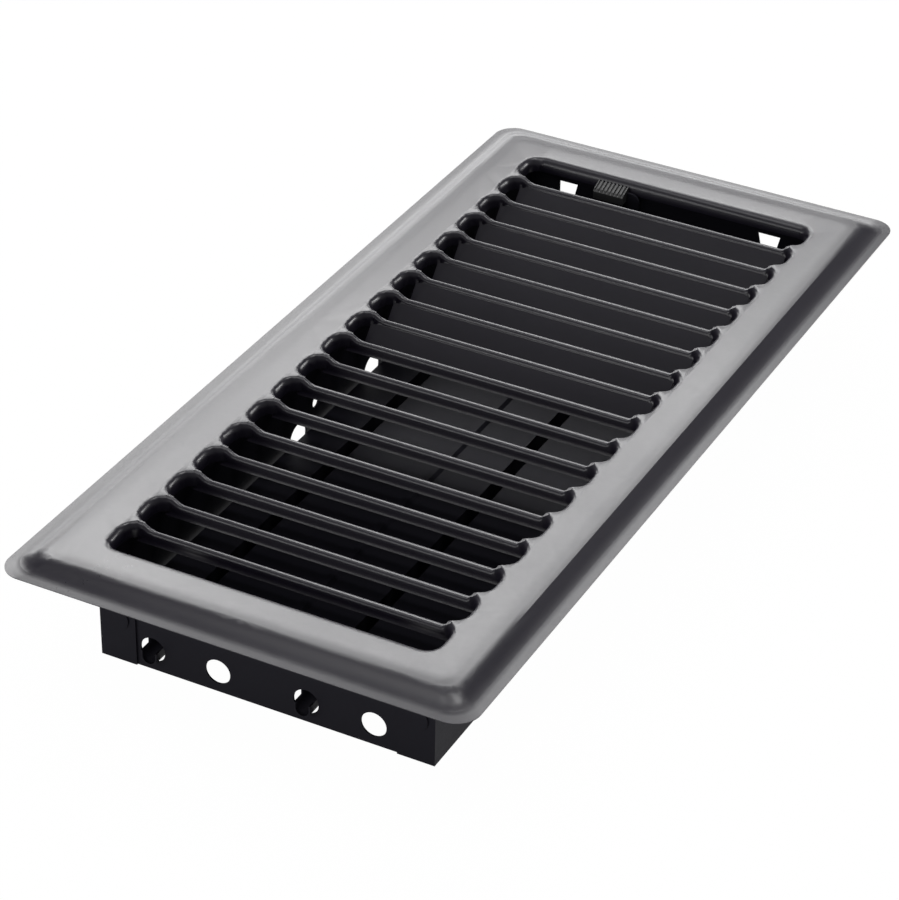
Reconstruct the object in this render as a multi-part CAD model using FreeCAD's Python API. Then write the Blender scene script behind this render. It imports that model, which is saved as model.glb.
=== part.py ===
import FreeCAD, Part
import math
import os

# Louvred floor register, millimetres. X runs across the face, Y along it, Z up.
# The origin is under the middle of the face, level with the lower edge of the damper box.

# Faceplate
plate_width = 138.5
plate_length = 292.5
plate_sheet = 0.7
plate_corner_radius = 7.0
lip_width = 3.2
slope_run = 4.6
face_rise = 2.4
face_edge_radius = 7.0

# Louvre field
bars_each_side = 8
pitch = 14.0
crest_drop = 2.0
crest_radius = 1.1
louvre_sheet = 0.6
slot_half_length = 48.5
slot_corner_radius = 3.8
end_roll = 2.2
field_end_roll = 2.6
field_wall_gap = 0.4
roll_steps = 2
corner_steps = 4
collar_depth = 4.4
rise_end = 46.7
left_rise_run = 5.0
right_rise_run = 2.6
rise_steps = 3
crest_steps = 4
crest_overlap = 0.9
comb_start = 45.2
ridge_cover = 0.25
crest_leg = 0.9
flange_half_length = 46.6
flare_radius = 3.0
flare_angle = 34.0
blade_angle = 42.0
blade_length = 9.6
blade_half_length = 45.9

# Damper box
box_width = 100.6
box_length = 254.0
box_sheet = 0.5
box_height = 32.0
box_flange_width = 7.0
box_bend_radius = 1.2
corner_tab_width = 11.0
tab_top_gap = 0.2
clinch_diameter = 7.0
clinch_rise = 0.4
clinch_height = 13.5
pattern_shift = -1.1
pivot_hole_diameter = 7.5
pivot_hole_height = 6.4
inner_hole_offset = 13.3
outer_hole_offset = 33.3
side_hole_diameter = 9.6
side_hole_spread = 22.0
side_hole_shift = -1.7
side_hole_height = 10.3
small_hole_diameter = 3.4
small_hole_y = -13.5
small_hole_height = 17.2
window_width = 7.6
window_foot_width = 4.8
window_height = 6.0
window_offset = 35.4
window_top_height = 28.7

# Damper blades
damper_sheet = 0.5
damper_height = 10.5
trough_radius = 2.45
pivot_clearance = 0.08
trunnion_overhang = 1.6
trunnion_arm = 1.8
left_blade_gap = 0.7
right_blade_gap = 1.2
damper_front_gap = 1.2
seam_x = -5.8
seam_overlap = 1.8
joggle_step = 0.8
joggle_run = 1.0

# Linkage and thumb piece at the back end wall
open_angle = 45.0
crank_radius = 13.0
crank_width = 5.0
link_thickness = 0.8
link_width = 5.0
link_wall_gap = 1.7
linkage_gap = 0.3
link_pin_diameter = 2.4
pin_clearance = 0.08
rivet_head_diameter = 4.4
rivet_head_height = 0.8
rivet_tail_height = 0.4
neck_x = -12.0
neck_width = 4.0
neck_bend = 1.6
tongue_height = 3.0
knob_left = -24.6
knob_right = -14.2
knob_back_gap = 0.3
knob_depth = 4.4
knob_top = 33.4
knob_height = 4.6
knob_slope = 1.3
knob_edge_radius = 0.8
rib_count = 8
rib_depth = 0.45

# Heights and lines that several pieces share
lip_bottom = box_height
lip_top = lip_bottom + plate_sheet
face_top = lip_top + face_rise
face_under = face_top - plate_sheet
crest_top = face_top - crest_drop
half_width = plate_width / 2
half_length = plate_length / 2
wall_inner_x = box_width / 2 - box_sheet
wall_inner_y = box_length / 2 - 2 * box_sheet
field_half_length = wall_inner_y - field_wall_gap - louvre_sheet
window_half_x = slot_half_length + end_roll
window_half_y = field_half_length + field_end_roll
window_corner = slot_corner_radius + end_roll
crest_foot = crest_top - crest_radius - crest_leg
pivot_z = pivot_hole_height - pivot_hole_diameter / 2 + trough_radius + pivot_clearance
left_pivot_x = pattern_shift - outer_hole_offset
right_pivot_x = pattern_shift + inner_hole_offset
rest_lean = math.radians(open_angle / 2)
link_back = wall_inner_y - link_wall_gap
link_front = link_back - link_thickness
crank_back = link_front - linkage_gap
crank_front = crank_back - damper_sheet
knob_back = field_half_length - knob_back_gap
over = 1.0


def vec(x, y, z):
    return FreeCAD.Vector(x, y, z)


def block(lo, hi):
    """A block between two corners."""
    return Part.makeBox(hi[0] - lo[0], hi[1] - lo[1], hi[2] - lo[2], vec(*lo))


def rounded_wire(half_x, half_y, radius, z, centre_y=0.0):
    """A rounded rectangle at height z, centred on the Y axis."""
    kx = half_x - radius
    ky = half_y - radius
    mid = radius * math.sqrt(0.5)
    edges = []
    for sx, sy in ((1, 1), (-1, 1), (-1, -1), (1, -1)):
        beside = vec(sx * half_x, centre_y + sy * ky, z)
        beyond = vec(sx * kx, centre_y + sy * half_y, z)
        middle = vec(sx * (kx + mid), centre_y + sy * (ky + mid), z)
        start, end = (beside, beyond) if sx * sy > 0 else (beyond, beside)
        if edges:
            edges.append(Part.makeLine(last_end, start))
        else:
            first_start = start
        edges.append(Part.Arc(start, middle, end).toShape())
        last_end = end
    edges.append(Part.makeLine(last_end, first_start))
    return Part.Wire(edges)


def rounded_prism(half_x, half_y, radius, z0, z1):
    """An upright block with rounded corners."""
    return Part.Face(rounded_wire(half_x, half_y, radius, z0)).extrude(vec(0, 0, z1 - z0))


def outline(points):
    """A closed wire through corner points."""
    return Part.makePolygon([vec(*p) for p in points] + [vec(*points[0])])


def one_solid(shape, name):
    """The single solid of a finished piece."""
    clean = shape.removeSplitter()
    if len(clean.Solids) != 1:
        print("warning:", name, "has", len(clean.Solids), "solids")
    return clean.Solids[0] if len(clean.Solids) == 1 else clean


# Faceplate: lip, sloping step and raised middle, pressed from one sheet

def raised_face(drop):
    """The raised middle as a solid hill, lowered by drop."""
    foot = rounded_wire(half_width - lip_width, half_length - lip_width,
                        plate_corner_radius - 1.0, lip_top)
    inset = lip_width + slope_run
    brow = rounded_wire(half_width - inset, half_length - inset,
                        plate_corner_radius - 2.0, face_top)
    hill = Part.makeLoft([foot, brow], True, True)
    brow_edges = [e for e in hill.Edges if min(v.Z for v in e.Vertexes) > face_top - 0.01]
    hill = hill.makeFillet(face_edge_radius, brow_edges)
    hill.translate(vec(0, 0, -drop))
    return hill


def pressed_corner(half_x, half_y, radius, z, centre_y):
    """A slot's outline at height z, its corners drawn in short straight steps."""
    points = []
    for quarter, (sx, sy) in enumerate(((1, 1), (-1, 1), (-1, -1), (1, -1))):
        for step in range(corner_steps + 1):
            turn = math.pi / 2 * (quarter + step / corner_steps)
            points.append((sx * (half_x - radius) + radius * math.cos(turn),
                           centre_y + sy * (half_y - radius) + radius * math.sin(turn), z))
    return outline(points)


def rolled_form(y0, y1, roll0, roll1, grow, bottom):
    """The room inside a pressed edge that rolls outwards up to the face, grown by grow."""
    wires = [pressed_corner(slot_half_length + grow, (y1 - y0) / 2 + grow, slot_corner_radius + grow,
                            bottom, (y0 + y1) / 2)]
    for step in range(roll_steps + 1):
        turn = math.pi / 2 * step / roll_steps
        share = 1 - math.cos(turn)
        low = y0 - roll0 * share - grow
        high = y1 + roll1 * share + grow
        wires.append(pressed_corner(slot_half_length + end_roll * share + grow, (high - low) / 2,
                                    slot_corner_radius + end_roll * share + grow,
                                    face_top - end_roll * (1 - math.sin(turn)), (low + high) / 2))
    return Part.makeLoft(wires, True, True)


def slot_rooms():
    """The rooms of all the slots, front to back."""
    edges = [-field_half_length]
    for index in range(-bars_each_side, bars_each_side + 1):
        edges.append(index * pitch - crest_radius)
        edges.append(index * pitch + crest_radius)
    edges.append(field_half_length)
    bottom = face_top - collar_depth - over
    rooms = []
    for y0, y1 in zip(edges[0::2], edges[1::2]):
        roll0 = field_end_roll if y0 == edges[0] else crest_radius
        roll1 = field_end_roll if y1 == edges[-1] else crest_radius
        rooms.append(rolled_form(y0, y1, roll0, roll1, 0.0, bottom))
    return rooms


def rise_start(side):
    """Distance from the middle at which a crest starts to rise. side is the X sign."""
    return rise_end - (right_rise_run if side > 0 else left_rise_run)


def crest_height(x):
    """Height of a bar's crest: level along the slots, rising to the face at both ends."""
    start = rise_start(x)
    share = min(max((abs(x) - start) / (rise_end - start), 0.0), 1.0)
    return crest_top + share * share * (3 - 2 * share) * (crest_drop - 0.02)


def rise_stations(side):
    """Places along a slot where the section of a rising crest is set."""
    start = rise_start(side)
    return [side * (start + (rise_end - start) * step / rise_steps) for step in range(rise_steps + 1)]


def comb_trim(side):
    """The space above the bars' rising ends, cleared of the ridges between the slots."""
    low = side * comb_start
    inner = side * (comb_start - over)
    points = [(inner, 0, crest_height(low) - ridge_cover - 0.2)]
    points += [(x, 0, crest_height(x) - ridge_cover) for x in rise_stations(side) if abs(x) > comb_start]
    points += [(side * rise_end, 0, face_top + over), (inner, 0, face_top + over)]
    reach = bars_each_side * pitch + crest_radius
    space = Part.Face(outline(points)).extrude(vec(0, 2 * reach, 0))
    space.translate(vec(0, -reach, 0))
    return space


def crest_arch(x, top):
    """The rounded top of a crest's section, drawn in short straight steps."""
    turns = [math.pi * step / crest_steps for step in range(crest_steps + 1)]
    return [(x, -crest_radius * math.cos(turn), top - crest_radius * (1 - math.sin(turn)))
            for turn in turns]


def solid_crest_wire(x, top):
    """Section of a bar's end where it rises to the face."""
    return outline([(x, -crest_radius, crest_foot)] + crest_arch(x, top) + [(x, crest_radius, crest_foot)])


def sheet_crest_wire(x):
    """Section of a bar's level crest, folded from sheet."""
    inner = crest_radius - louvre_sheet
    ceiling = crest_top - louvre_sheet
    return outline([(x, -crest_radius, crest_foot)] + crest_arch(x, crest_top)
                   + [(x, crest_radius, crest_foot), (x, inner, crest_foot), (x, inner, ceiling),
                      (x, -inner, ceiling), (x, -inner, crest_foot)])


def crest():
    """A bar's rounded crest from end to end."""
    rising = []
    for side in (-1, 1):
        stations = [solid_crest_wire(x, crest_height(x)) for x in rise_stations(side)]
        stations.append(solid_crest_wire(side * (rise_end + crest_overlap), crest_height(side * rise_end)))
        rising.append(Part.makeLoft(stations, True, True))
    level = Part.Face(sheet_crest_wire(-rise_start(-1)))
    return level.extrude(vec(rise_start(-1) + rise_start(1), 0, 0)).fuse(rising)


def short_flange(side):
    """The short flange under a crest: upright, then flared outwards. side is its Y sign."""
    mid = crest_radius - louvre_sheet / 2
    foot = crest_foot
    t = louvre_sheet / 2
    turn = math.radians(flare_angle)
    centre_y = mid + flare_radius
    arcs = []
    for radius in (flare_radius + t, flare_radius - t):
        arc = [(centre_y - radius * math.cos(a), foot - radius * math.sin(a))
               for a in (0.0, turn / 2, turn)]
        arcs.append(arc)
    x = -flange_half_length
    inner, outer = arcs
    wire = Part.Wire([
        Part.makeLine(vec(x, side * inner[0][0], foot + 0.2), vec(x, side * inner[0][0], foot)),
        Part.Arc(*[vec(x, side * y, z) for y, z in inner]).toShape(),
        Part.makeLine(vec(x, side * inner[2][0], inner[2][1]), vec(x, side * outer[2][0], outer[2][1])),
        Part.Arc(*[vec(x, side * y, z) for y, z in reversed(outer)]).toShape(),
        Part.makeLine(vec(x, side * outer[0][0], foot), vec(x, side * outer[0][0], foot + 0.2)),
        Part.makeLine(vec(x, side * outer[0][0], foot + 0.2), vec(x, side * inner[0][0], foot + 0.2)),
    ])
    return Part.Face(wire).extrude(vec(-2 * x, 0, 0))


def long_blade(side):
    """The long air blade that hangs from a crest and leans to the side given by the Y sign."""
    mid = crest_radius - louvre_sheet / 2
    lean = math.radians(blade_angle)
    t = louvre_sheet / 2
    root = crest_foot + crest_leg / 3
    mitre = t * math.tan(lean / 2)
    top = crest_foot + crest_leg * 0.8
    across = (math.cos(lean) * t, math.sin(lean) * t)
    tip_y = mid + math.sin(lean) * blade_length
    tip_z = root - math.cos(lean) * blade_length
    corners = [(mid - t, top), (mid + t, top), (mid + t, root + mitre),
               (tip_y + across[0], tip_z + across[1]), (tip_y - across[0], tip_z - across[1]),
               (mid - t, root - mitre)]
    face = Part.Face(outline([(-blade_half_length, side * y, z) for y, z in corners]))
    return face.extrude(vec(2 * blade_half_length, 0, 0))


def make_faceplate():
    slab = rounded_prism(half_width, half_length, plate_corner_radius, lip_bottom, lip_top)
    sheet = slab.fuse(raised_face(0.0)).cut(raised_face(plate_sheet))
    window = Part.Face(pressed_corner(window_half_x, window_half_y, window_corner,
                                      face_under - over, 0.0)).extrude(vec(0, 0, plate_sheet + 2 * over))
    edge = rolled_form(-field_half_length, field_half_length, field_end_roll, field_end_roll,
                       louvre_sheet, face_top - collar_depth)
    middle = block((-comb_start, -field_half_length + 0.01, face_top - collar_depth - over),
                   (comb_start, field_half_length - 0.01, face_top + over))
    pieces = [edge.cut(slot_rooms() + [comb_trim(-1), comb_trim(1), middle])]
    bar = crest()
    front_flange = short_flange(-1)
    back_flange = short_flange(1)
    front_blade = long_blade(-1)
    back_blade = long_blade(1)
    for index in range(-bars_each_side, bars_each_side + 1):
        if index < 0:
            section = [bar, front_flange, back_blade]
        elif index > 0:
            section = [bar, back_flange, front_blade]
        else:
            section = [bar, front_flange, back_flange]
        for piece in section:
            moved = piece.copy()
            moved.translate(vec(0, index * pitch, 0))
            pieces.append(moved)
    return sheet.cut(window).fuse(pieces)


# Damper box: two side walls whose corner tabs wrap round two end walls

def flanged_wall(inner, length):
    """A wall standing at X inner with its top flange bent outwards, centred along Y."""
    y = -length / 2
    top = face_under
    r = box_bend_radius
    outer = inner + box_sheet
    bend_x = inner + r
    bend_z = top - r
    far = outer + box_flange_width
    mid = math.sqrt(0.5)
    small = r - box_sheet
    wire = Part.Wire([
        Part.makeLine(vec(inner, y, 0), vec(inner, y, bend_z)),
        Part.Arc(vec(inner, y, bend_z), vec(bend_x - r * mid, y, bend_z + r * mid),
                 vec(bend_x, y, top)).toShape(),
        Part.makeLine(vec(bend_x, y, top), vec(far, y, top)),
        Part.makeLine(vec(far, y, top), vec(far, y, top - box_sheet)),
        Part.makeLine(vec(far, y, top - box_sheet), vec(bend_x, y, top - box_sheet)),
        Part.Arc(vec(bend_x, y, top - box_sheet), vec(bend_x - small * mid, y, bend_z + small * mid),
                 vec(outer, y, bend_z)).toShape(),
        Part.makeLine(vec(outer, y, bend_z), vec(outer, y, 0)),
        Part.makeLine(vec(outer, y, 0), vec(inner, y, 0)),
    ])
    return Part.Face(wire).extrude(vec(0, length, 0))


def make_side_wall(side):
    """A side wall with its top flange and corner tabs. side is its X sign."""
    outer = box_width / 2
    half = box_length / 2
    parts = [flanged_wall(wall_inner_x, box_length)]
    tab_top = face_under - box_bend_radius - tab_top_gap
    for end in (-1, 1):
        y0, y1 = sorted((end * half, end * (half - box_sheet)))
        parts.append(block((outer - corner_tab_width, y0, 0), (outer, y1, tab_top)))
        button = Part.makeCylinder(clinch_diameter / 2, box_sheet + clinch_rise,
                                   vec(outer - corner_tab_width / 2, end * (half - box_sheet),
                                       clinch_height), vec(0, end, 0))
        parts.append(button)
    holes = [(side_hole_diameter, side_hole_shift - side_hole_spread, side_hole_height),
             (side_hole_diameter, side_hole_shift + side_hole_spread, side_hole_height),
             (small_hole_diameter, small_hole_y, small_hole_height)]
    cuts = [Part.makeCylinder(diameter / 2, 3 * box_sheet, vec(outer - 2 * box_sheet, y, z), vec(1, 0, 0))
            for diameter, y, z in holes]
    wall = parts[0].fuse(parts[1:]).cut(cuts)
    if side < 0:
        wall = wall.mirror(vec(0, 0, 0), vec(1, 0, 0))
    return wall


def make_end_wall(end):
    """An end wall with four round holes and two clip windows. end is its Y sign."""
    inner = wall_inner_y
    half = wall_inner_x
    wall = flanged_wall(inner, 2 * half)
    wall.rotate(vec(0, 0, 0), vec(0, 0, 1), 90)
    cuts = []
    for offset in (-outer_hole_offset, -inner_hole_offset, inner_hole_offset, outer_hole_offset):
        cuts.append(Part.makeCylinder(pivot_hole_diameter / 2, 3 * box_sheet,
                                      vec(pattern_shift + offset, inner - box_sheet, pivot_hole_height),
                                      vec(0, 1, 0)))
    for offset in (-window_offset, window_offset):
        x = pattern_shift + offset
        corners = [(x - window_width / 2, window_top_height), (x + window_width / 2, window_top_height),
                   (x + window_foot_width / 2, window_top_height - window_height),
                   (x - window_foot_width / 2, window_top_height - window_height)]
        face = Part.Face(outline([(cx, inner - box_sheet, cz) for cx, cz in corners]))
        cuts.append(face.extrude(vec(0, 3 * box_sheet, 0)))
    wall = wall.cut(cuts)
    if end < 0:
        wall = wall.mirror(vec(0, 0, 0), vec(0, 1, 0))
    return wall


# Damper blades: flat wings on a deep trough whose ends turn in the end walls

def trough_face(x, y, arm):
    """Section of the trough: a half round with upright arms that end at height arm."""
    r = trough_radius
    q = r - damper_sheet
    z = pivot_z
    return Part.Face(Part.Wire([
        Part.makeLine(vec(x - r, y, arm), vec(x - r, y, z)),
        Part.Arc(vec(x - r, y, z), vec(x, y, z - r), vec(x + r, y, z)).toShape(),
        Part.makeLine(vec(x + r, y, z), vec(x + r, y, arm)),
        Part.makeLine(vec(x + r, y, arm), vec(x + q, y, arm)),
        Part.makeLine(vec(x + q, y, arm), vec(x + q, y, z)),
        Part.Arc(vec(x + q, y, z), vec(x, y, z - q), vec(x - q, y, z)).toShape(),
        Part.makeLine(vec(x - q, y, z), vec(x - q, y, arm)),
        Part.makeLine(vec(x - q, y, arm), vec(x - r, y, arm)),
    ]))


def crank_place(x):
    """Where a crank's pin stands with the damper shut."""
    return (x - crank_radius * math.sin(rest_lean), pivot_z + crank_radius * math.cos(rest_lean))


def make_damper_blade(pivot_x, left_edge, right_edge, laps):
    """A damper blade. If it laps, its left edge steps up over the other blade."""
    front = -wall_inner_y + damper_front_gap
    back = crank_back
    reach = box_length / 2 + trunnion_overhang
    low = damper_height - damper_sheet
    parts = [trough_face(pivot_x, front, damper_height).extrude(vec(0, back - front, 0)),
             trough_face(pivot_x, -reach, pivot_z + trunnion_arm).extrude(vec(0, 2 * reach, 0)),
             block((left_edge, front, low), (pivot_x - trough_radius + damper_sheet, back, damper_height)),
             block((pivot_x + trough_radius - damper_sheet, front, low), (right_edge, back, damper_height))]
    if laps:
        corners = [(left_edge, low), (left_edge, damper_height),
                   (left_edge - joggle_run, damper_height + joggle_step),
                   (left_edge - joggle_run - seam_overlap, damper_height + joggle_step),
                   (left_edge - joggle_run - seam_overlap, low + joggle_step),
                   (left_edge - joggle_run, low + joggle_step)]
        face = Part.Face(outline([(x, front, z) for x, z in corners]))
        parts.append(face.extrude(vec(0, back - front, 0)))
    pin_x, pin_z = crank_place(pivot_x)
    parts.append(block((pin_x - crank_width / 2, crank_front, low), (pin_x + crank_width / 2, back, pin_z)))
    parts.append(Part.makeCylinder(crank_width / 2, damper_sheet, vec(pin_x, crank_front, pin_z),
                                   vec(0, 1, 0)))
    hole = Part.makeCylinder(link_pin_diameter / 2, 3 * damper_sheet,
                             vec(pin_x, crank_front - damper_sheet, pin_z), vec(0, 1, 0))
    return parts[0].fuse(parts[1:]).cut(hole)


def make_link_pin(pivot_x):
    """A rivet that joins the link bar to a damper's crank."""
    pin_x, pin_z = crank_place(pivot_x)
    start = crank_front - rivet_head_height
    shank = Part.makeCylinder(link_pin_diameter / 2, link_back - start, vec(pin_x, start, pin_z),
                              vec(0, 1, 0))
    head = Part.makeCylinder(rivet_head_diameter / 2, rivet_head_height, vec(pin_x, start, pin_z),
                             vec(0, 1, 0))
    tail = Part.makeCylinder(link_pin_diameter / 2 + rivet_tail_height, rivet_tail_height,
                             vec(pin_x, link_back, pin_z), vec(0, 1, 0))
    return shank.fuse([head, tail])


def make_link_bar():
    """The flat bar that turns both blades together, with the neck that carries the knob."""
    left_x, bar_z = crank_place(left_pivot_x)
    right_x, _ = crank_place(right_pivot_x)
    r = link_width / 2
    neck_right = neck_x + neck_width / 2
    tongue_top = knob_top - neck_bend
    parts = [block((left_x, link_front, bar_z - r), (right_x, link_back, bar_z + r)),
             block((neck_x - neck_width / 2, link_front, bar_z), (neck_right, link_back, tongue_top)),
             block((knob_left + neck_bend, link_front, tongue_top - tongue_height),
                   (neck_right, link_back, tongue_top))]
    parts += [Part.makeCylinder(r, link_thickness, vec(x, link_front, bar_z), vec(0, 1, 0))
              for x in (left_x, right_x)]
    holes = [Part.makeCylinder(link_pin_diameter / 2 + pin_clearance, 3 * link_thickness,
                               vec(x, link_front - link_thickness, bar_z), vec(0, 1, 0))
             for x in (left_x, right_x)]
    bar = parts[0].fuse(parts[1:]).removeSplitter()
    shoulder = [e for e in bar.Edges
                if abs(e.CenterOfMass.x - neck_right) < 0.01 and abs(e.CenterOfMass.z - tongue_top) < 0.01]
    return bar.makeFillet(tongue_height * 0.9, shoulder).cut(holes)


def make_thumb_knob(link_bar):
    """The ribbed knob pressed over the tongue of the link bar."""
    front = knob_back - knob_depth
    low = knob_top - knob_height
    side = [(knob_back, low), (knob_back, knob_top), (front + knob_edge_radius, knob_top - knob_slope),
            (front, knob_top - knob_slope - knob_edge_radius), (front, low)]
    body = Part.Face(outline([(knob_left, y, z) for y, z in side])).extrude(vec(knob_right - knob_left, 0, 0))
    rib_pitch = (knob_right - knob_left) / rib_count
    slope = math.atan2(knob_slope, knob_depth - knob_edge_radius)
    grooves = []
    for index in range(rib_count):
        x = knob_left + rib_pitch * (index + 0.5)
        groove = block((x - rib_pitch / 4, -2 * knob_depth, -rib_depth), (x + rib_pitch / 4, over, over))
        groove.rotate(vec(0, 0, 0), vec(1, 0, 0), math.degrees(slope))
        groove.translate(vec(0, knob_back, knob_top))
        grooves.append(groove)
    return body.cut(grooves + [link_bar])


link_bar = make_link_bar()
nodes = {
    "faceplate": make_faceplate(),
    "left_side_wall": make_side_wall(-1),
    "right_side_wall": make_side_wall(1),
    "front_end_wall": make_end_wall(-1),
    "back_end_wall": make_end_wall(1),
    "damper_blade_left": make_damper_blade(left_pivot_x, -wall_inner_x + left_blade_gap,
                                           seam_x - joggle_run, False),
    "damper_blade_right": make_damper_blade(right_pivot_x, seam_x + joggle_run,
                                            wall_inner_x - right_blade_gap, True),
    "link_bar": link_bar,
    "thumb_knob": make_thumb_knob(link_bar),
    "link_pin_left": make_link_pin(left_pivot_x),
    "link_pin_right": make_link_pin(right_pivot_x),
}

os.makedirs("parts", exist_ok=True)
for name, shape in nodes.items():
    solid = one_solid(shape, name)
    print(name, "solids", len(solid.Solids), "valid", solid.isValid(), "volume %.1f" % solid.Volume)
    solid.exportStep("parts/%s.step" % name)
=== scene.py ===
import math

import bpy
import mathutils
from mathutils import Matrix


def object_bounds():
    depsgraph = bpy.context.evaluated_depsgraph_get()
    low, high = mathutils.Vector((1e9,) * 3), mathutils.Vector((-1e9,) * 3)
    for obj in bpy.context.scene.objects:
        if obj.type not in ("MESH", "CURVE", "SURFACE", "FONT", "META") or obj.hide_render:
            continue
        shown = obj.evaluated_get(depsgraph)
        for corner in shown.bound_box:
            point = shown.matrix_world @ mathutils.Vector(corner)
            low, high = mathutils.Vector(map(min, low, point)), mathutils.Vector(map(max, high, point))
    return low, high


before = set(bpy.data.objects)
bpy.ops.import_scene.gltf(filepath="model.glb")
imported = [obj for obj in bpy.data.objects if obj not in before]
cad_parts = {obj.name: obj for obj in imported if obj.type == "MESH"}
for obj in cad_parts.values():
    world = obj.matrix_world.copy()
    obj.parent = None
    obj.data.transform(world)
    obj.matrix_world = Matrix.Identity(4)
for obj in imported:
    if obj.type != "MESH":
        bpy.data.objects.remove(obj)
cad_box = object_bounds()
Vector = mathutils.Vector


# Camera

CAMERA_PLACE = Vector((0.33666, -0.67839, 0.50009))
CAMERA_RIGHT = Vector((0.8978, 0.4389, 0.0357))
CAMERA_UP = Vector((-0.2648, 0.4734, 0.8401))
CAMERA_LENS = 123.94
CAMERA_SHIFT = (-0.1266, -0.0100)


def make_camera():
    data = bpy.data.cameras.new("camera")
    data.sensor_width = 36.0
    data.lens = CAMERA_LENS
    data.shift_x, data.shift_y = CAMERA_SHIFT
    data.clip_start = 0.01
    data.clip_end = 50.0
    camera = bpy.data.objects.new("camera", data)
    right = CAMERA_RIGHT.normalized()
    back = right.cross(CAMERA_UP).normalized()
    up = back.cross(right)
    turn = mathutils.Matrix((right, up, back)).transposed().to_4x4()
    camera.matrix_world = mathutils.Matrix.Translation(CAMERA_PLACE) @ turn
    bpy.context.collection.objects.link(camera)
    bpy.context.scene.camera = camera


# Places on the faceplate and under it, in metres

FIELD_X = 0.0535
FIELD_Y = 0.1310
PLATE_CORNER = 0.007
LIP_MIDDLE = 0.0324
LIP_WIDTH = 0.0032
LIP_DROOP = 0.00047
RIM_SHARE = 0.8
WELD_DISTANCE = 0.000002
FLOOR_Z = 0.0
FLOOR_HALF = 6.0

# Angles up to which edges are shaded smooth, on the louvre field and round it

FIELD_CREASE = math.radians(50.0)
PLATE_CREASE = math.radians(13.0)
CREASE_CHANGE = 0.0005

# Softer shading of the pressed step: corner radii in metres, places in millimetres out from the
# step's foot, tilts as slopes and the brow's height in millimetres

FOOT_CORNER = 0.006
FOOT_INNER = 2.4
FOOT_INNER_TILT = 0.25
FOOT_OUTER = 1.5
FOOT_OUTER_TILT = 0.09
BROW_CORNER = 0.012
BROW_OUTER = -2.5
BROW_INNER = -10.8
BROW_HEIGHT = 0.40

# Scales of the paint's patterns, in cells per metre

CLOUD_SCALE = 14.0
SPECK_SCALE = 900.0
PEEL_SCALE = 420.0
PEEL_DEPTH = 0.0002
GRAIN_DEPTH = 0.0001

# Light

FLOOR_WHITE = 0.99
ROOM_LIGHT = 0.27
SOFTBOXES = (
    # name, azimuth, elevation, distance, width, height, radiance
    ("back_panel", 32.0, 40.2, 1.6, 1.18, 0.60, 8.9),
    ("side_panel", 45.0, 21.0, 1.6, 0.60, 0.22, 4.5),
    ("spot_panel", -38.0, 14.0, 1.6, 0.36, 0.26, 16.0),
    ("low_panel", 36.0, 7.0, 1.6, 2.0, 0.38, 3.6),
    ("front_panel", 150.0, 12.0, 1.6, 1.1, 0.42, 3.8),
    ("top_panel", 150.0, 76.0, 1.6, 0.8, 0.7, 3.2),
    ("crown_panel", -48.0, 75.0, 1.6, 0.22, 0.22, 34.0),
)


# Materials

def reckon(nodes, links, operation, first, second=None):
    """One step of arithmetic between sockets or plain numbers."""
    node = nodes.new("ShaderNodeMath")
    node.operation = operation
    for slot, value in zip(node.inputs, (first, second)):
        if isinstance(value, (int, float)):
            slot.default_value = value
        elif value is not None:
            links.new(value, slot)
    return node.outputs["Value"]


def new_material(name):
    material = bpy.data.materials.new(name)
    material.use_nodes = True
    nodes = material.node_tree.nodes
    nodes.clear()
    out = nodes.new("ShaderNodeOutputMaterial")
    shader = nodes.new("ShaderNodeBsdfPrincipled")
    material.node_tree.links.new(shader.outputs["BSDF"], out.inputs["Surface"])
    return material, nodes, material.node_tree.links, shader


def noise(nodes, links, scale, detail=2.0, roughness=0.5):
    coord = nodes.new("ShaderNodeTexCoord")
    node = nodes.new("ShaderNodeTexNoise")
    node.inputs["Scale"].default_value = scale
    node.inputs["Detail"].default_value = detail
    node.inputs["Roughness"].default_value = roughness
    links.new(coord.outputs["Object"], node.inputs["Vector"])
    return node.outputs["Fac"]


def spread(nodes, links, value, low, high, from_low=0.3, from_high=0.7):
    node = nodes.new("ShaderNodeMapRange")
    node.inputs["From Min"].default_value = from_low
    node.inputs["From Max"].default_value = from_high
    node.inputs["To Min"].default_value = low
    node.inputs["To Max"].default_value = high
    links.new(value, node.inputs["Value"])
    return node.outputs["Result"]


def blend_colours(nodes, links, factor, first, second):
    node = nodes.new("ShaderNodeMix")
    node.data_type = "RGBA"
    links.new(factor, node.inputs["Factor"])
    node.inputs[6].default_value = (*first, 1.0)
    node.inputs[7].default_value = (*second, 1.0)
    return node.outputs[2]


def bump(nodes, links, height, strength, distance, normal=None):
    node = nodes.new("ShaderNodeBump")
    node.inputs["Strength"].default_value = strength
    node.inputs["Distance"].default_value = distance
    links.new(height, node.inputs["Height"])
    if normal is not None:
        links.new(normal, node.inputs["Normal"])
    return node.outputs["Normal"]


def past_foot(nodes, links, corner):
    """Distance outwards from the step's foot, in millimetres, round corners of this radius."""
    coord = nodes.new("ShaderNodeTexCoord")
    split = nodes.new("ShaderNodeSeparateXYZ")
    links.new(coord.outputs["Object"], split.inputs["Vector"])
    square = None
    for axis, half in (("X", cad_box[1][0]), ("Y", cad_box[1][1])):
        reach = reckon(nodes, links, "ABSOLUTE", split.outputs[axis])
        reach = reckon(nodes, links, "SUBTRACT", reach, half - LIP_WIDTH - corner)
        part = reckon(nodes, links, "POWER", reckon(nodes, links, "MAXIMUM", reach, 0.0), 2.0)
        square = part if square is None else reckon(nodes, links, "ADD", square, part)
    distance = reckon(nodes, links, "SUBTRACT", reckon(nodes, links, "SQRT", square), corner)
    return reckon(nodes, links, "MULTIPLY", distance, 1000.0)


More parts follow.
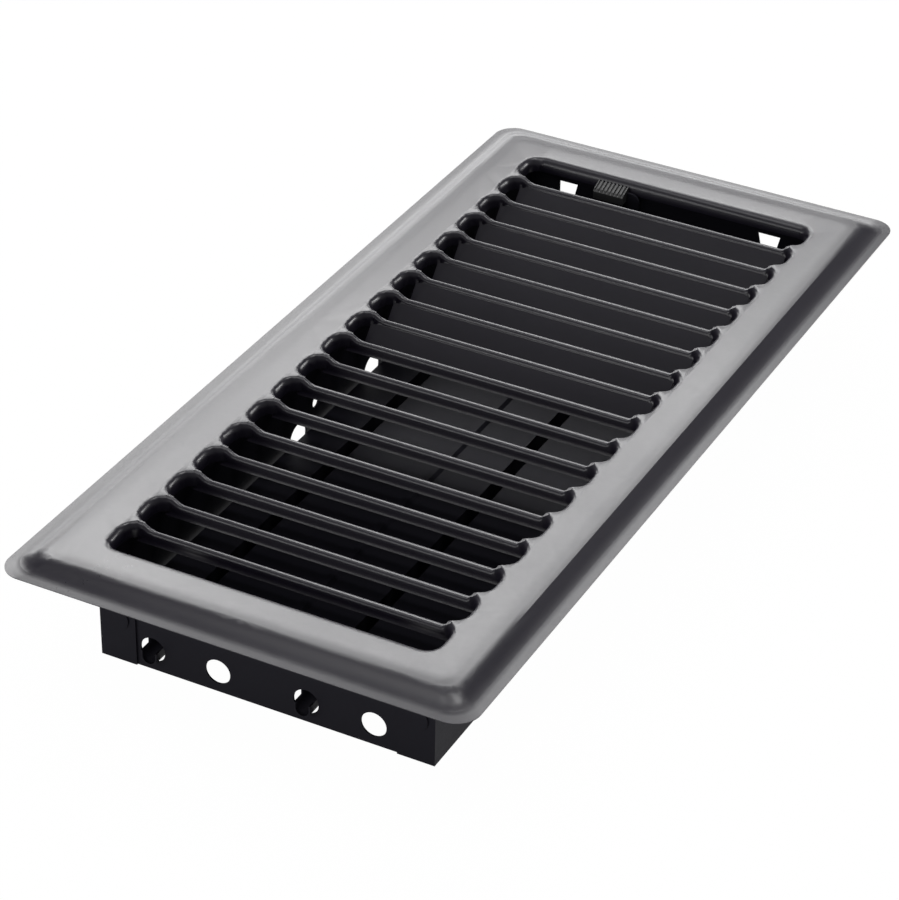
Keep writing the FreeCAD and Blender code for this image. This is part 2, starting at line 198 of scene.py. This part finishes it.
def soft_step(nodes, links):
    """Round the brow and the foot of the plate's pressed step a little more than its facets do."""
    brow = nodes.new("ShaderNodeMapRange")
    brow.interpolation_type = "SMOOTHERSTEP"
    brow.inputs["From Min"].default_value = BROW_OUTER
    brow.inputs["From Max"].default_value = BROW_INNER
    brow.inputs["To Min"].default_value = 0.0
    brow.inputs["To Max"].default_value = BROW_HEIGHT
    links.new(past_foot(nodes, links, BROW_CORNER), brow.inputs["Value"])
    gap = past_foot(nodes, links, FOOT_CORNER)
    inner = reckon(nodes, links, "MAXIMUM", reckon(nodes, links, "MINIMUM", gap, 0.0), -FOOT_INNER)
    inner = reckon(nodes, links, "POWER", reckon(nodes, links, "ADD", inner, FOOT_INNER), 2.0)
    inner = reckon(nodes, links, "MULTIPLY", inner, FOOT_INNER_TILT / (2.0 * FOOT_INNER))
    outer = reckon(nodes, links, "MAXIMUM", reckon(nodes, links, "MINIMUM", gap, FOOT_OUTER), 0.0)
    outer = reckon(nodes, links, "POWER", reckon(nodes, links, "SUBTRACT", FOOT_OUTER, outer), 2.0)
    outer = reckon(nodes, links, "MULTIPLY", outer, FOOT_OUTER_TILT / (2.0 * FOOT_OUTER))
    foot = reckon(nodes, links, "ADD", inner, outer)
    height = reckon(nodes, links, "ADD", brow.outputs["Result"], foot)
    return bump(nodes, links, height, 1.0, 0.001)


def satin_paint(name, dark, light, rough_low, rough_high, peel, shine, form=None):
    """Baked satin paint: near-black, with a fine orange-peel skin and slightly uneven gloss."""
    material, nodes, links, shader = new_material(name)
    cloud = noise(nodes, links, CLOUD_SCALE, 3.0)
    speck = noise(nodes, links, SPECK_SCALE, 2.0)
    skin = noise(nodes, links, PEEL_SCALE, 2.0, 0.55)
    tint = blend_colours(nodes, links, spread(nodes, links, cloud, 0.0, 1.0), dark, light)
    links.new(tint, shader.inputs["Base Color"])
    gloss = reckon(nodes, links, "ADD", spread(nodes, links, cloud, rough_low, rough_high),
                   spread(nodes, links, speck, -0.02, 0.02))
    links.new(gloss, shader.inputs["Roughness"])
    base = form(nodes, links) if form else None
    links.new(bump(nodes, links, skin, peel, PEEL_DEPTH, base), shader.inputs["Normal"])
    shader.inputs["IOR"].default_value = 1.5
    shader.inputs["Specular IOR Level"].default_value = shine
    return material


def moulded_plastic(name):
    """Dark moulded plastic with a fine matt grain."""
    material, nodes, links, shader = new_material(name)
    grain = noise(nodes, links, 1800.0, 2.0)
    cloud = noise(nodes, links, 120.0, 2.0)
    tint = blend_colours(nodes, links, spread(nodes, links, cloud, 0.0, 1.0),
                         (0.022, 0.022, 0.023), (0.030, 0.030, 0.031))
    links.new(tint, shader.inputs["Base Color"])
    links.new(spread(nodes, links, grain, 0.48, 0.6), shader.inputs["Roughness"])
    links.new(bump(nodes, links, grain, 0.12, GRAIN_DEPTH), shader.inputs["Normal"])
    return material


def plain_steel(name):
    """Bright zinc-plated rivet steel."""
    material, nodes, links, shader = new_material(name)
    cloud = noise(nodes, links, 600.0, 3.0)
    tint = blend_colours(nodes, links, spread(nodes, links, cloud, 0.0, 1.0),
                         (0.30, 0.30, 0.31), (0.42, 0.42, 0.43))
    links.new(tint, shader.inputs["Base Color"])
    links.new(spread(nodes, links, cloud, 0.28, 0.42), shader.inputs["Roughness"])
    links.new(bump(nodes, links, cloud, 0.08, GRAIN_DEPTH), shader.inputs["Normal"])
    shader.inputs["Metallic"].default_value = 1.0
    return material


def dress(name, material):
    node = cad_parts[name]
    node.data.materials.clear()
    node.data.materials.append(material)


def pressed_skin(name):
    """Shade the pressed louvre field as one soft skin and let the lip droop towards its edge."""
    half_x, half_y = cad_box[1][0], cad_box[1][1]
    tree = bpy.data.node_groups.new("pressed_skin", "GeometryNodeTree")
    tree.interface.new_socket("Geometry", in_out="INPUT", socket_type="NodeSocketGeometry")
    tree.interface.new_socket("Geometry", in_out="OUTPUT", socket_type="NodeSocketGeometry")
    nodes = tree.nodes
    links = tree.links
    entry = nodes.new("NodeGroupInput")
    leave = nodes.new("NodeGroupOutput")
    weld = nodes.new("GeometryNodeMergeByDistance")
    weld.inputs["Distance"].default_value = WELD_DISTANCE
    drop = nodes.new("GeometryNodeRemoveAttribute")
    drop.inputs["Name"].default_value = "custom_normal"
    place = nodes.new("GeometryNodeInputPosition")
    split = nodes.new("ShaderNodeSeparateXYZ")
    links.new(place.outputs["Position"], split.inputs["Vector"])
    across = reckon(nodes, links, "ABSOLUTE", split.outputs["X"])
    along = reckon(nodes, links, "ABSOLUTE", split.outputs["Y"])

    droop = nodes.new("GeometryNodeSetPosition")
    past_x = reckon(nodes, links, "MAXIMUM",
                    reckon(nodes, links, "SUBTRACT", across, half_x - PLATE_CORNER), 0.0)
    past_y = reckon(nodes, links, "MAXIMUM",
                    reckon(nodes, links, "SUBTRACT", along, half_y - PLATE_CORNER), 0.0)
    square = reckon(nodes, links, "ADD", reckon(nodes, links, "POWER", past_x, 2.0),
                    reckon(nodes, links, "POWER", past_y, 2.0))
    rim = reckon(nodes, links, "GREATER_THAN", reckon(nodes, links, "SQRT", square),
                 RIM_SHARE * PLATE_CORNER)
    top = reckon(nodes, links, "GREATER_THAN", split.outputs["Z"], LIP_MIDDLE)
    shift = nodes.new("ShaderNodeCombineXYZ")
    rim_top = reckon(nodes, links, "MULTIPLY", rim, top)
    links.new(reckon(nodes, links, "MULTIPLY", rim_top, -LIP_DROOP), shift.inputs["Z"])
    links.new(shift.outputs["Vector"], droop.inputs["Offset"])

    soft = nodes.new("GeometryNodeSetShadeSmooth")
    soft.domain = "FACE"
    soft.inputs["Shade Smooth"].default_value = True
    creases = nodes.new("GeometryNodeSetShadeSmooth")
    creases.domain = "EDGE"
    outside = reckon(nodes, links, "MAXIMUM", reckon(nodes, links, "SUBTRACT", across, FIELD_X),
                     reckon(nodes, links, "SUBTRACT", along, FIELD_Y))
    limit = nodes.new("ShaderNodeMapRange")
    limit.inputs["From Min"].default_value = 0.0
    limit.inputs["From Max"].default_value = CREASE_CHANGE
    limit.inputs["To Min"].default_value = FIELD_CREASE
    limit.inputs["To Max"].default_value = PLATE_CREASE
    links.new(outside, limit.inputs["Value"])
    fold = nodes.new("GeometryNodeInputMeshEdgeAngle")
    under = reckon(nodes, links, "LESS_THAN", fold.outputs["Unsigned Angle"],
                   limit.outputs["Result"])
    links.new(under, creases.inputs["Shade Smooth"])

    links.new(entry.outputs[0], weld.inputs["Geometry"])
    links.new(weld.outputs["Geometry"], drop.inputs["Geometry"])
    links.new(drop.outputs["Geometry"], droop.inputs["Geometry"])
    links.new(droop.outputs["Geometry"], soft.inputs["Geometry"])
    links.new(soft.outputs["Geometry"], creases.inputs["Geometry"])
    links.new(creases.outputs["Geometry"], leave.inputs[0])
    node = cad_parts[name]
    skin = node.modifiers.new("pressed_skin", "NODES")
    skin.node_group = tree
    even = node.modifiers.new("even_skin", "WEIGHTED_NORMAL")
    even.mode = "FACE_AREA"
    even.keep_sharp = True


plate_paint = satin_paint("plate_paint", (0.0088, 0.0072, 0.0135), (0.0118, 0.0102, 0.0170),
                          0.29, 0.35, 0.065, 0.5, soft_step)
# The box paint's base is lighter than the plate paint's. This is painted fill light for the shaded
# inside of the box, laid over the same near-black paint.
box_paint = satin_paint("box_paint", (0.0122, 0.0116, 0.0165), (0.0160, 0.0154, 0.0205),
                        0.46, 0.56, 0.08, 0.05)
knob_plastic = moulded_plastic("knob_plastic")
rivet_steel = plain_steel("rivet_steel")

dress("faceplate", plate_paint)
pressed_skin("faceplate")
for piece in ("left_side_wall", "right_side_wall", "front_end_wall", "back_end_wall",
              "damper_blade_left", "damper_blade_right", "link_bar"):
    dress(piece, box_paint)
dress("thumb_knob", knob_plastic)
for piece in ("link_pin_left", "link_pin_right"):
    dress(piece, rivet_steel)


# Studio

def make_floor():
    mesh = bpy.data.meshes.new("floor")
    corners = [(x * FLOOR_HALF, y * FLOOR_HALF, FLOOR_Z)
               for x, y in ((-1, -1), (1, -1), (1, 1), (-1, 1))]
    mesh.from_pydata(corners, [], [(0, 1, 2, 3)])
    floor = bpy.data.objects.new("floor", mesh)
    bpy.context.collection.objects.link(floor)
    material = bpy.data.materials.new("floor")
    material.use_nodes = True
    nodes = material.node_tree.nodes
    links = material.node_tree.links
    nodes.clear()
    out = nodes.new("ShaderNodeOutputMaterial")
    diffuse = nodes.new("ShaderNodeBsdfDiffuse")
    diffuse.inputs["Color"].default_value = (0.85, 0.85, 0.85, 1.0)
    glow = nodes.new("ShaderNodeEmission")
    glow.inputs["Strength"].default_value = 1.0
    mix = nodes.new("ShaderNodeMixShader")
    path = nodes.new("ShaderNodeLightPath")
    seen = reckon(nodes, links, "MAXIMUM", path.outputs["Is Camera Ray"],
                  path.outputs["Is Glossy Ray"])
    seen = reckon(nodes, links, "MAXIMUM", seen, path.outputs["Is Transmission Ray"])
    links.new(reckon(nodes, links, "MULTIPLY", seen, FLOOR_WHITE), mix.inputs["Fac"])
    links.new(diffuse.outputs["BSDF"], mix.inputs[1])
    links.new(glow.outputs["Emission"], mix.inputs[2])
    links.new(mix.outputs["Shader"], out.inputs["Surface"])
    mesh.materials.append(material)


def make_world():
    world = bpy.data.worlds.new("world")
    bpy.context.scene.world = world
    world.use_nodes = True
    nodes = world.node_tree.nodes
    links = world.node_tree.links
    nodes.clear()
    out = nodes.new("ShaderNodeOutputWorld")
    shell = nodes.new("ShaderNodeBackground")
    shell.inputs["Color"].default_value = (1.0, 1.0, 1.0, 1.0)
    shell.inputs["Strength"].default_value = 1.0
    room = nodes.new("ShaderNodeBackground")
    room.inputs["Color"].default_value = (1.0, 1.0, 1.0, 1.0)
    room.inputs["Strength"].default_value = ROOM_LIGHT
    mix = nodes.new("ShaderNodeMixShader")
    path = nodes.new("ShaderNodeLightPath")
    links.new(path.outputs["Is Camera Ray"], mix.inputs["Fac"])
    links.new(room.outputs["Background"], mix.inputs[1])
    links.new(shell.outputs["Background"], mix.inputs[2])
    links.new(mix.outputs["Shader"], out.inputs["Surface"])


def softbox(name, azimuth, elevation, distance, width, height, radiance):
    """A soft panel that faces the object. Azimuth 0 is behind it along +Y, 90 on its left (-X)."""
    data = bpy.data.lights.new(name, "AREA")
    data.shape = "RECTANGLE"
    data.size = width
    data.size_y = height
    data.energy = radiance * math.pi * width * height
    lamp = bpy.data.objects.new(name, data)
    a = math.radians(azimuth)
    e = math.radians(elevation)
    place = Vector((-math.sin(a) * math.cos(e), math.cos(a) * math.cos(e), math.sin(e))) * distance
    lamp.location = place
    lamp.rotation_euler = (-place).to_track_quat("-Z", "Y").to_euler()
    bpy.context.collection.objects.link(lamp)


make_camera()
make_floor()
make_world()
for panel in SOFTBOXES:
    softbox(*panel)

bpy.context.scene.view_settings.view_transform = "Standard"
